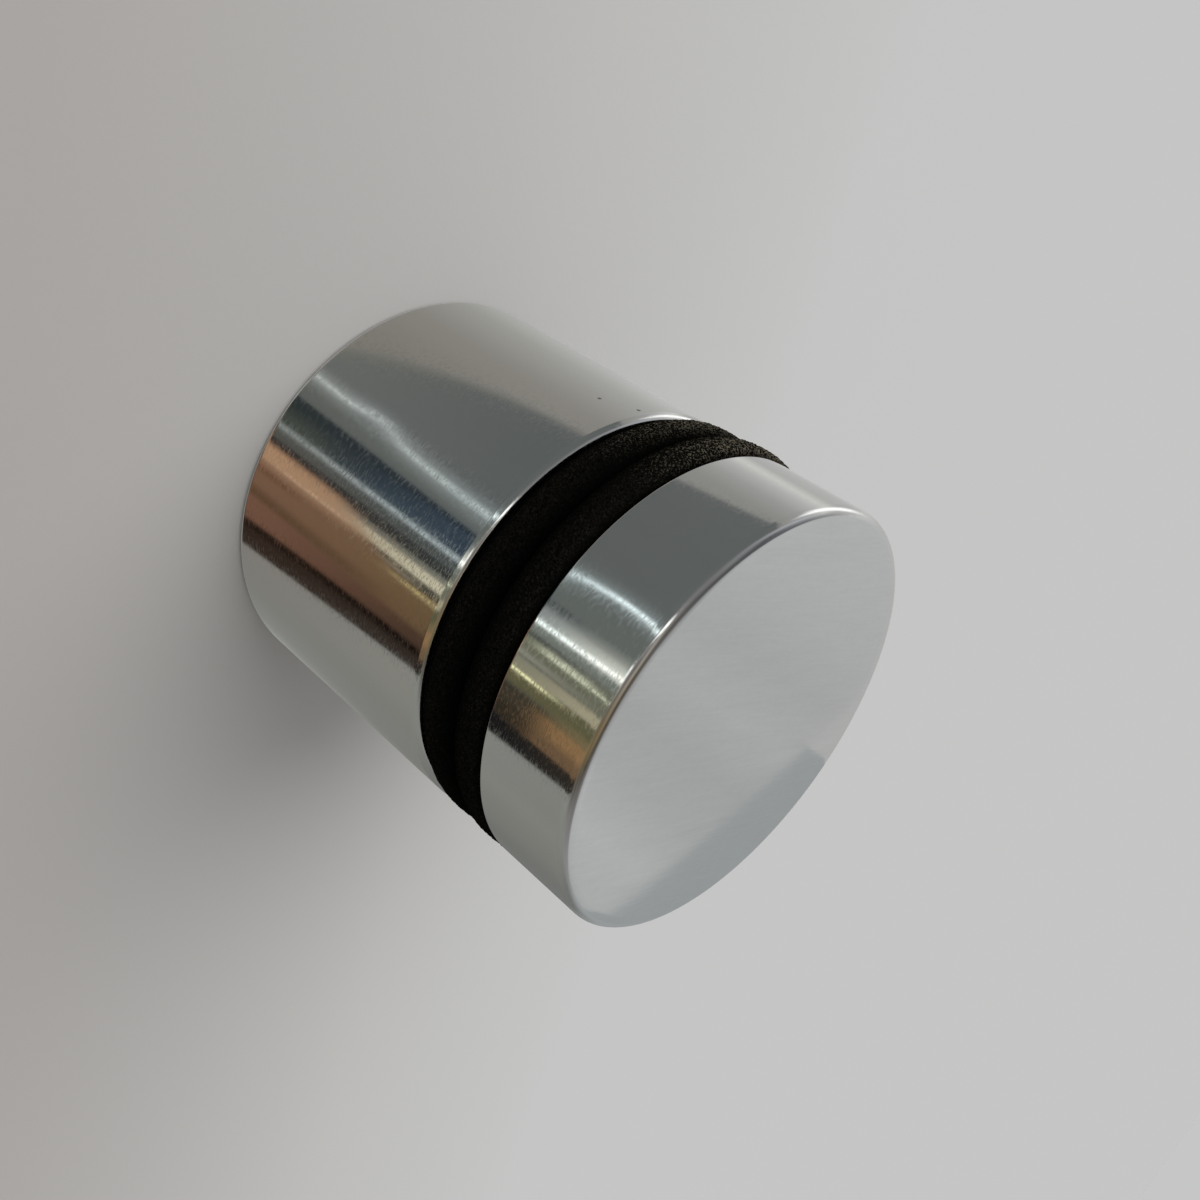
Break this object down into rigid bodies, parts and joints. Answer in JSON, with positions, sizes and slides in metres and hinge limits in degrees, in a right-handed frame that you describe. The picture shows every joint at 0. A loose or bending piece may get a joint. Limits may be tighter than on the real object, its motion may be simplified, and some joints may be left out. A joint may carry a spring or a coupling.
{
  "type": "glass panel standoff",
  "caption": "Polished round standoff that holds a glass panel off a wall: tapped barrel, screw-on cap on a threaded stud, sponge gaskets that grip the panel and a plastic sleeve for its hole.",
  "frame": {"origin": "centre of the barrel's flat wall face, where the standoff stands on its wall end", "axes": "+Z along the standoff's axis, from the wall towards the cap's face; X and Y are any two directions square to it"},
  "size_m": [0.0506, 0.0506, 0.0553],
  "materials": {
    "polished_metal": "turned and buffed to a mirror",
    "sponge_rubber": "cut sponge rubber, matt",
    "nylon": "natural moulded nylon",
    "zinc_plated_steel": "rolled thread, bright zinc"
  },
  "bodies": {
    "wall_side": {"barrel": "polished_metal", "rear_gasket": "sponge_rubber", "glass_sleeve": "nylon"},
    "travelling_gasket": {"front_gasket": "sponge_rubber"},
    "screwed_cap": {"cap": "polished_metal", "stud": "zinc_plated_steel"}
  },
  "joints": [
    {"name": "cap_travel", "type": "slide", "parent": "wall_side", "child": "travelling_gasket", "axis": [0, 0, 1], "range_m": [0, 0.0165]},
    {"name": "cap_turn", "type": "hinge", "parent": "travelling_gasket", "child": "screwed_cap", "pos_m": [0, 0, 0.0435], "axis": [0, 0, 1], "range_deg": [0, 3960]}
  ],
  "couplings": [
    {"joint": "cap_travel", "follows": "cap_turn", "m_per_rad": 0.00023873}
  ]
}
